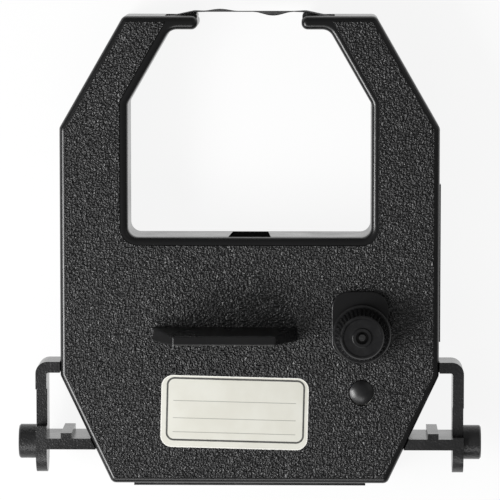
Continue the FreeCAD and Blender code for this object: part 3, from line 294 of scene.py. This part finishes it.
def grained_plastic():
    """Black plastic with a moulded leather grain on the front and smooth edges; the grain's crests carry
    a painted highlight.
    """
    nodes = Nodes("grained_plastic")
    mask = grain_mask(nodes)
    warp = nodes.noise_node(1.4).outputs["Color"]
    shift = nodes.vector("SUBTRACT", warp, (0.5, 0.5, 0.5))
    shift = nodes.vector("MULTIPLY", shift, (0.5 * MM, 0.5 * MM, 0.5 * MM))
    place = nodes.vector("ADD", nodes.place, shift)
    pebbles = nodes.math("SUBTRACT", 1.0, nodes.voronoi(0.82, "SMOOTH_F1", place))
    wrinkles = nodes.noise(0.46, 0.0, 0.5, place)
    height = nodes.math("MULTIPLY_ADD", wrinkles, 0.9, nodes.math("MULTIPLY", pebbles, 0.45))
    height = nodes.math("MULTIPLY", height, mask)
    haze = nodes.noise(14.0, 3.0)
    patches = nodes.noise(6.0, 3.0)
    moulded = nodes.bump(nodes.noise(3.5, 3.0), 0.03, 0.25)
    normal = nodes.bump(height, 0.70, 1.0, moulded)
    color = nodes.mix(mask, rgb(0.0060, 0.0060, 0.0063), rgb(0.0080, 0.0080, 0.0083))
    # Painted highlight: the grain's crests are made lighter in colour to stand in for the lamps' glints
    # on them
    glint_crests = nodes.smooth(wrinkles, 0.5, 0.72)
    painted_crest_glint = nodes.math("MULTIPLY", glint_crests, nodes.math("MULTIPLY", mask, 0.5))
    color = nodes.mix(painted_crest_glint, color, rgb(0.095, 0.095, 0.096))
    rough = nodes.blend(mask, nodes.spread(haze, 0.25, 0.31), nodes.spread(patches, 0.33, 0.39))
    return nodes.surface(color, rough, normal, Specular_IOR_Level=0.5)


def case_plastic():
    """Black plastic of the base: satin where it faces front or back, glossier on its drawn walls."""
    nodes = Nodes("case_plastic")
    fine = nodes.noise(0.45, 1.0, 0.6)
    flow = nodes.noise(9.0, 3.0)
    upright = nodes.split(nodes.add("ShaderNodeNewGeometry").outputs["True Normal"])[2]
    wall = nodes.smooth(nodes.math("ABSOLUTE", upright), 0.5, 0.2)
    pale = nodes.smooth(flow, 0.35, 0.7)
    color = nodes.mix(pale, rgb(0.0120, 0.0120, 0.0124), rgb(0.0175, 0.0175, 0.0179))
    satin = nodes.spread(flow, 0.28, 0.38)
    drawn = nodes.spread(flow, 0.18, 0.26)
    texture = nodes.bump(fine, 0.11, nodes.blend(wall, 0.9, 0.05), nodes.bump(flow, 0.03, 0.3))
    return nodes.surface(color, nodes.blend(wall, satin, drawn), texture, Specular_IOR_Level=0.5)


def knob_plastic(name, low_rough, high_rough):
    """Polished black plastic with light handling marks."""
    nodes = Nodes(name)
    smudge = nodes.noise(3.0, 4.0, 0.6)
    fine = nodes.noise(0.2, 2.0)
    normal = nodes.bump(fine, 0.006, 0.6)
    handled = nodes.smooth(smudge, 0.35, 0.75)
    color = nodes.mix(handled, rgb(0.009, 0.009, 0.0095), rgb(0.016, 0.016, 0.0165))
    rough = nodes.spread(smudge, low_rough, high_rough)
    return nodes.surface(color, rough, normal, Specular_IOR_Level=0.5)


def acetal():
    """Off-white acetal with a waxy look and a little ink on it."""
    nodes = Nodes("gear_plastic")
    flow = nodes.noise(4.0, 3.0)
    ink = nodes.smooth(nodes.noise(1.6, 4.0, 0.65), 0.56, 0.72)
    color = nodes.mix(nodes.smooth(flow, *NOISE_RANGE), rgb(0.66, 0.65, 0.60), rgb(0.74, 0.73, 0.69))
    color = nodes.mix(nodes.math("MULTIPLY", ink, 0.35), color, rgb(0.10, 0.10, 0.13))
    normal = nodes.bump(nodes.noise(0.3, 2.0), 0.008, 0.6)
    return nodes.surface(color, nodes.spread(flow, 0.34, 0.45), normal, Subsurface_Weight=0.05)


def spring_steel():
    """Rolled spring strip with fine lengthwise scratches."""
    nodes = Nodes("spring_steel")
    stretched = nodes.vector("MULTIPLY", nodes.place, (0.08, 0.08, 1.0))
    lines = nodes.noise(0.10, 3.0, 0.6, stretched)
    stain = nodes.noise(2.5, 3.0)
    color = nodes.mix(nodes.smooth(stain, 0.35, 0.75), rgb(0.56, 0.56, 0.57), rgb(0.44, 0.43, 0.42))
    normal = nodes.bump(lines, 0.006, 0.7)
    return nodes.surface(color, nodes.spread(lines, 0.26, 0.40), normal, Metallic=1.0)


def inked_nylon():
    """Fine inked nylon weave with a dull sheen."""
    nodes = Nodes("ribbon_nylon")
    x, y, _ = nodes.split(nodes.add("ShaderNodeUVMap").outputs[0])
    turns = 2 * math.pi / (0.32 * MM)
    warp = nodes.math("SINE", nodes.math("MULTIPLY", x, turns))
    weft = nodes.math("SINE", nodes.math("MULTIPLY", y, turns))
    weave = nodes.math("MULTIPLY", warp, weft)
    wet = nodes.noise(2.2, 3.0)
    soaked = nodes.smooth(wet, *NOISE_RANGE)
    color = nodes.mix(soaked, rgb(0.008, 0.008, 0.009), rgb(0.015, 0.0145, 0.017))
    normal = nodes.bump(weave, 0.02, 0.8)
    rough = nodes.spread(wet, 0.58, 0.74)
    sheen = {"Sheen_Weight": 0.02, "Sheen_Roughness": 0.5}
    return nodes.surface(color, rough, normal, Specular_IOR_Level=0.2, **sheen)


def felt():
    """Pressed grey felt with short fibres."""
    nodes = Nodes("felt")
    combed = nodes.vector("MULTIPLY", nodes.place, (1.0, 0.35, 1.0))
    fibre = nodes.noise(0.18, 4.0, 0.7, combed)
    tone = nodes.smooth(nodes.noise(1.2, 3.0), *NOISE_RANGE)
    color = nodes.mix(tone, rgb(0.22, 0.21, 0.20), rgb(0.36, 0.35, 0.33))
    normal = nodes.bump(fibre, 0.08, 1.0)
    return nodes.surface(color, nodes.spread(fibre, 0.85, 0.97), normal, Sheen_Weight=0.3)


def rounded_box(nodes, x, y, half_x, half_y, radius):
    """Signed distance in millimetres from a rounded rectangle, negative inside."""
    beside = nodes.math("SUBTRACT", nodes.math("ABSOLUTE", x), half_x)
    above = nodes.math("SUBTRACT", nodes.math("ABSOLUTE", y), half_y)
    return rounded_corner(nodes, beside, above, radius)


def turned(nodes, x, y, angle):
    """Coordinates along and across a direction that is turned by the angle."""
    cos, sin = math.cos(angle), math.sin(angle)
    along = nodes.math("ADD", nodes.math("MULTIPLY", x, cos), nodes.math("MULTIPLY", y, sin))
    up = nodes.math("SUBTRACT", nodes.math("MULTIPLY", y, cos), nodes.math("MULTIPLY", x, sin))
    return along, up


def label_ink(nodes, across, up):
    """How much ink lies on the label: full on its frame, less on its ruled lines."""
    frame_x = nodes.math("SUBTRACT", across, FRAME_SHIFT[0])
    frame_y = nodes.math("SUBTRACT", up, FRAME_SHIFT[1])
    frame = rounded_box(nodes, frame_x, frame_y, *FRAME_HALF_SIZE, FRAME_CORNER_R)
    ink = nodes.smooth(nodes.math("ABSOLUTE", frame), *FRAME_INK)
    for height in RULE_HEIGHTS:
        near = nodes.math("ABSOLUTE", nodes.math("SUBTRACT", up, height))
        span = nodes.smooth(nodes.math("ABSOLUTE", across), *RULE_ENDS)
        rule = nodes.math("MULTIPLY", nodes.smooth(near, *RULE_INK), span)
        ink = nodes.math("MAXIMUM", ink, nodes.math("MULTIPLY", rule, RULE_STRENGTH))
    return ink


def label_paper():
    """Cream label paper with a thin printed frame and ruled lines to write on."""
    nodes = Nodes("label_paper")
    x, y, _ = nodes.split(nodes.vector("SCALE", nodes.place, None, None, 1 / MM))
    x = nodes.math("SUBTRACT", x, LABEL_CENTRE[0])
    y = nodes.math("SUBTRACT", y, LABEL_CENTRE[1])
    across, up = turned(nodes, x, y, math.radians(LABEL_TILT_DEG))
    ink = label_ink(nodes, across, up)
    pulp = nodes.noise(0.35, 4.0, 0.65)
    tone = nodes.smooth(nodes.noise(7.0, 3.0), *NOISE_RANGE)
    paper = nodes.mix(tone, rgb(0.650, 0.640, 0.570), rgb(0.695, 0.690, 0.625))
    flecks = nodes.math("MULTIPLY", nodes.smooth(pulp, 0.45, 0.8), 0.25)
    paper = nodes.mix(flecks, paper, rgb(0.66, 0.64, 0.56))
    rim = rounded_box(nodes, across, up, LABEL_SIZE[0] / 2, LABEL_SIZE[1] / 2, LABEL_CORNER_R)
    paper = nodes.mix(nodes.smooth(rim, -LABEL_RIM, 0.0), paper, rgb(0.88, 0.87, 0.82))
    ink = nodes.math("MULTIPLY", ink, nodes.spread(pulp, 0.86, 0.98))
    color = nodes.mix(ink, paper, rgb(0.012, 0.012, 0.012))
    return nodes.surface(color, nodes.spread(pulp, 0.52, 0.64), nodes.bump(pulp, 0.02, 0.5))


# Ribbon band: the route is a belt round circles (x, y, radius, side), where side is 1 for a left turn
def heading_between(first, second):
    """Heading of the straight run from one circle to the next."""
    dx, dy = second[0] - first[0], second[1] - first[1]
    offset = second[3] * second[2] - first[3] * first[2]
    return math.atan2(dy, dx) - math.asin(offset / math.hypot(dx, dy))


def point_at(circle, heading):
    """Where the belt touches the circle when it runs along the heading."""
    x, y, radius, side = circle
    return Vector((x + side * radius * math.sin(heading), y - side * radius * math.cos(heading)))


def post(x, y, radius):
    """Circle of the ribbon's middle round a post or roller that it turns right on."""
    return (x, y, radius + LEAD, -1)


def top_circles():
    """Circles from the left guide roller over both arms to the right one."""
    left = [post(*LEFT_GUIDE)] + [post(*nose) for nose in ARM_NOSES]
    return left + [(-x, y, radius, side) for x, y, radius, side in reversed(left)]


def fold_circles():
    """Circles of the stored zigzag, from the chamber's mouth to its way out."""
    pitch = (FOLDS_START_X - FOLDS_END_X) / (2 * FOLD_PAIRS)
    slope = (SIDE_HALF_WIDTH - FOOT_HALF_WIDTH) / (HIP_Y + CASE_HALF_LENGTH)
    inner_half_width = SIDE_HALF_WIDTH - WALL * math.hypot(1, slope)
    circles = [(*CHAMBER_MOUTH, -1)]
    for i in range(FOLD_PAIRS):
        top_x = FOLDS_START_X - (2 * i + 0.5) * pitch
        top_y = FOLD_TOP_Y + FOLD_UNEVENNESS * math.sin(1.7 * i)
        bottom_x = top_x - pitch
        bottom_y = FOLD_BOTTOM_Y + FOLD_UNEVENNESS * math.sin(2.3 * i + 1)
        room = inner_half_width - abs(bottom_x) - FOLD_CLEARANCE
        bottom_y = max(bottom_y, HIP_Y - room / slope + FOLD_CLEARANCE)
        circles.append((top_x, top_y, pitch / 2, 1))
        circles.append((bottom_x, bottom_y, pitch / 2, -1))
    return circles


def ribbon_line():
    """Points along the whole closed ribbon."""
    feed = post(FEED_GUIDE_X, FEED_LINE_Y + GUIDE_R + LEAD, GUIDE_R)
    top = top_circles()
    circles = [feed] + fold_circles() + [post(*LEFT_POST)] + top
    count = len(circles)
    before_gap = count - len(top) // 2 - 1
    headings = [heading_between(circles[i], circles[(i + 1) % count]) for i in range(count)]
    points = []
    for i, circle in enumerate(circles):
        side = circle[3]
        sweep = (side * (headings[i] - headings[i - 1])) % (2 * math.pi)
        if sweep < 2 * math.pi - 1e-6:
            steps = max(2, math.ceil(sweep / ARC_STEP))
            for k in range(steps):
                points.append(point_at(circle, headings[i - 1] + side * sweep * k / steps))
        start, end = point_at(circle, headings[i]), point_at(circles[(i + 1) % count], headings[i])
        steps = max(1, round((end - start).length / SPAN_STEP)) if i == before_gap else 1
        points += [start.lerp(end, k / steps) for k in range(steps)]
    return points


def wave(x, centre, half_width):
    """Smooth swell, 1 at its centre and 0 outside its width."""
    t = abs(x - centre) / half_width
    return 0.5 + 0.5 * math.cos(math.pi * t) if t < 1 else 0.0


def slack(x, across):
    """How far the loose ribbon over the gap stands off its straight line, in millimetres."""
    back = BACK_SWELL[2] * wave(x, *BACK_SWELL[:2]) * (1 - across)
    front = FRONT_SWELL[2] * wave(x, *FRONT_SWELL[:2]) * across
    ease = min(1.0, (GAP_HALF_WIDTH - abs(x)) / SLACK_EASE)
    return back + front + ease * (TWIST * across - SAG)


def ribbon_band(material):
    """The inked ribbon: a woven band that lies edge up, slack and a little twisted over the gap."""
    points = ribbon_line()
    rows = BAND_ROWS
    vertices, faces, places = [], [], []
    along = 0.0
    for i, point in enumerate(points):
        x, y = point
        free = abs(x) < GAP_HALF_WIDTH and y > GAP_LOWEST_Y
        for row in range(rows + 1):
            across = row / rows
            lift = slack(x, across) if free else 0.0
            z = RIBBON_BACK_Z + RIBBON_WIDTH * across
            vertices.append((x * MM, (y + lift) * MM, z * MM))
            places.append((along * MM, RIBBON_WIDTH * across * MM))
        along += (points[(i + 1) % len(points)] - point).length
    loops = []
    count = len(points)
    for i in range(count):
        for row in range(rows):
            a = i * (rows + 1) + row
            b = ((i + 1) % count) * (rows + 1) + row
            faces.append((a, b, b + 1, a + 1))
            ahead = along * MM if i == count - 1 else places[b][0]
            loops += [places[a], (ahead, places[b][1]), (ahead, places[b + 1][1]), places[a + 1]]
    mesh = bpy.data.meshes.new("inked_ribbon")
    mesh.from_pydata(vertices, [], faces)
    layer = mesh.uv_layers.new(name="UVMap")
    for i, place in enumerate(loops):
        layer.data[i].uv = place
    mesh.shade_smooth()
    band = bpy.data.objects.new("inked_ribbon", mesh)
    bpy.context.scene.collection.objects.link(band)
    band.data.materials.append(material)
    thickness = band.modifiers.new("thickness", "SOLIDIFY")
    thickness.thickness = RIBBON_THICKNESS * MM
    thickness.offset = 0.0
    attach(band, "case")
    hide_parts("ink_ribbon")


def floor():
    """White table that keeps the object's soft shadow."""
    nodes = Nodes("table")
    diffuse = nodes.add("ShaderNodeBsdfDiffuse", rgb(0.86, 0.86, 0.86))
    glow = nodes.add("ShaderNodeEmission", rgb(1, 1, 1), 1.0)
    path = nodes.add("ShaderNodeLightPath")
    seen = nodes.math("MAXIMUM", path.outputs["Is Camera Ray"], path.outputs["Is Glossy Ray"])
    mixed = nodes.add("ShaderNodeMixShader", nodes.math("MULTIPLY", seen, TABLE_GLOW))
    nodes.tree.links.new(diffuse.outputs[0], mixed.inputs[1])
    nodes.tree.links.new(glow.outputs[0], mixed.inputs[2])
    nodes.tree.links.new(mixed.outputs[0], nodes.output.inputs[0])
    mesh = bpy.data.meshes.new("table")
    half = TABLE_HALF_SIZE
    corners = [(-half, -half, 0), (half, -half, 0), (half, half, 0), (-half, half, 0)]
    mesh.from_pydata(corners, [], [(0, 1, 2, 3)])
    table = bpy.data.objects.new("table", mesh)
    table.location.z = -TABLE_DROP
    bpy.context.scene.collection.objects.link(table)
    mesh.materials.append(nodes.material)


def area_light(name, place, size, power):
    """Rectangular lamp that looks at the object's middle."""
    lamp = bpy.data.lights.new(name, "AREA")
    lamp.shape = "RECTANGLE"
    lamp.size, lamp.size_y = size
    lamp.energy = power
    light = bpy.data.objects.new(name, lamp)
    light.location = place
    light.rotation_mode = "QUATERNION"
    light.rotation_quaternion = (Vector(LIGHT_AIM) - Vector(place)).to_track_quat("-Z", "Y")
    bpy.context.scene.collection.objects.link(light)


def studio():
    """White surroundings, a low lamp on the left, a larger one in front, a weak one at the back right."""
    world = bpy.data.worlds.new("studio")
    bpy.context.scene.world = world
    world.use_nodes = True
    background = world.node_tree.nodes["Background"]
    background.inputs[0].default_value = rgb(1, 1, 1)
    background.inputs[1].default_value = WORLD_STRENGTH
    for light in LIGHTS:
        area_light(*light)
    bpy.context.scene.view_settings.view_transform = "Standard"


def camera():
    """The photograph's view: from 0.9 m above, a little towards the ribbon and the right."""
    data = bpy.data.cameras.new("camera")
    data.sensor_width = SENSOR_WIDTH_MM
    data.lens = FOCAL_LENGTH_MM
    data.clip_start, data.clip_end = 0.05, 20.0
    view = bpy.data.objects.new("camera", data)
    place, aim = Vector(CAMERA_PLACE), Vector(CAMERA_AIM)
    back = (place - aim).normalized()
    right = Vector((0, 1, 0)).cross(back).normalized()
    view.matrix_world = Matrix((right, back.cross(right), back)).transposed().to_4x4()
    view.location = place
    bpy.context.scene.collection.objects.link(view)
    bpy.context.scene.camera = view


def dress(parts, node, material):
    """Give a CAD node its finish."""
    for slot in parts[node].material_slots:
        slot.material = material


def main():
    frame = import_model()
    parts = frame["nodes"]
    case, gear, steel = case_plastic(), acetal(), spring_steel()
    dress(parts, "base_shell", case)
    dress(parts, "ribbon_stripper", case)
    dress(parts, "cover_shell", grained_plastic())
    dress(parts, "advance_knob", knob_plastic("knob_plastic", 0.13, 0.22))
    dress(parts, "idler_axle", knob_plastic("axle_plastic", 0.28, 0.36))
    dress(parts, "drive_gear", case)
    dress(parts, "idler_gear", gear)
    dress(parts, "idler_arm", gear)
    for side in ("left", "right", "feed"):
        dress(parts, side + "_guide_roller", gear)
    dress(parts, "idler_spring", steel)
    dress(parts, "tension_leaf", steel)
    dress(parts, "brake_pad", felt())
    dress(parts, "label", label_paper())
    nylon = inked_nylon()
    dress(parts, "ink_ribbon", nylon)
    ribbon_band(nylon)
    floor()
    studio()
    camera()


main()
